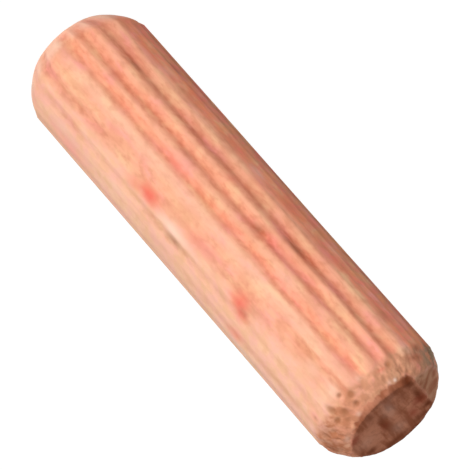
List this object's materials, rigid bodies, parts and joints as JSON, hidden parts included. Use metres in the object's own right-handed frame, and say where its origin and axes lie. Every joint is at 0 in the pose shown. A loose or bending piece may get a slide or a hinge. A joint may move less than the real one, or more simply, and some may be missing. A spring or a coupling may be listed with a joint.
{
  "type": "dowel pin",
  "caption": "Fluted beech dowel pin with tapered ends, glued into matching holes to line up and hold a cabinet joint.",
  "frame": {"origin": "centre of the lower flat face, on which the pin stands", "axes": "+Z along the pin's axis, from the lower face to the upper face; +X through the middle of a flute"},
  "size_m": [0.008, 0.008, 0.03],
  "materials": {
    "beech": "raw sanded beech with long grain, torn at the tapered ends"
  },
  "bodies": {
    "root": {"dowel_pin": "beech"}
  },
  "joints": []
}
